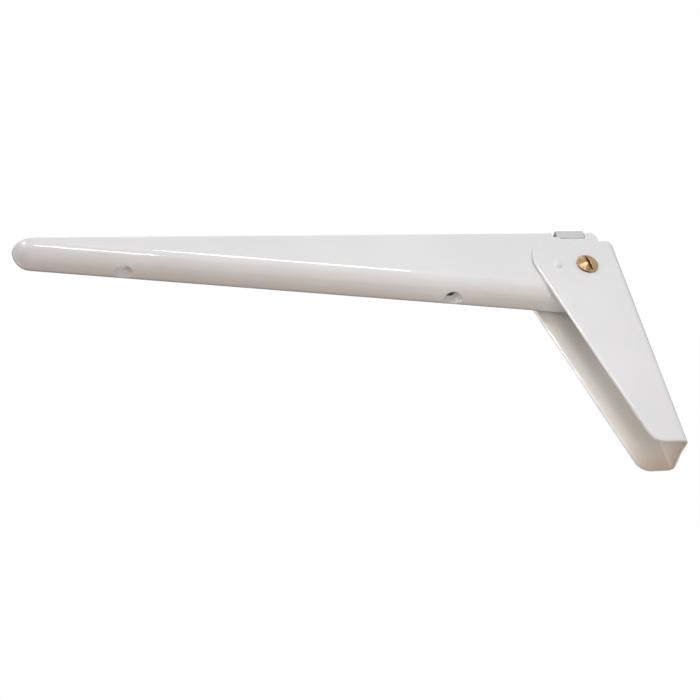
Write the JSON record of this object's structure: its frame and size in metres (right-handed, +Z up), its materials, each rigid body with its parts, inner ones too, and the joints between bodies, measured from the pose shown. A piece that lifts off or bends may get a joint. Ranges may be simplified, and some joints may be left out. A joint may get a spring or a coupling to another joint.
{
  "type": "drop leaf table bracket",
  "caption": "Folding support bracket for a table's drop leaf: a tapered channel arm pivots down into a wall leg, with a stop pin and a locking slide.",
  "frame": {"origin": "on the wall face of the leg's web, at the height of the pivot, midway between the cheeks", "axes": "+X into the wall, so the open arm points along -X; +Y across the cheeks; +Z up, at rest with the arm level"},
  "size_m": [0.328, 0.0304, 0.1486],
  "materials": {
    "enamel": "glossy white enamel on pressed steel",
    "zinc": "zinc plated",
    "brass": "turned brass"
  },
  "bodies": {
    "leg": {"wall_leg": "enamel", "pivot_screw": "brass", "pivot_sleeve": "brass", "stop_pin": "enamel"},
    "arm": {"support_arm": "enamel"},
    "lock": {"locking_slide": "zinc"}
  },
  "joints": [
    {"name": "arm_fold", "type": "hinge", "parent": "leg", "child": "arm", "pos_m": [-0.0205, 0, 0], "axis": [0, -1, 0], "range_deg": [0, 88]},
    {"name": "lock_travel", "type": "slide", "parent": "arm", "child": "lock", "axis": [-1, 0, 0], "range_m": [0, 0.0026]}
  ]
}
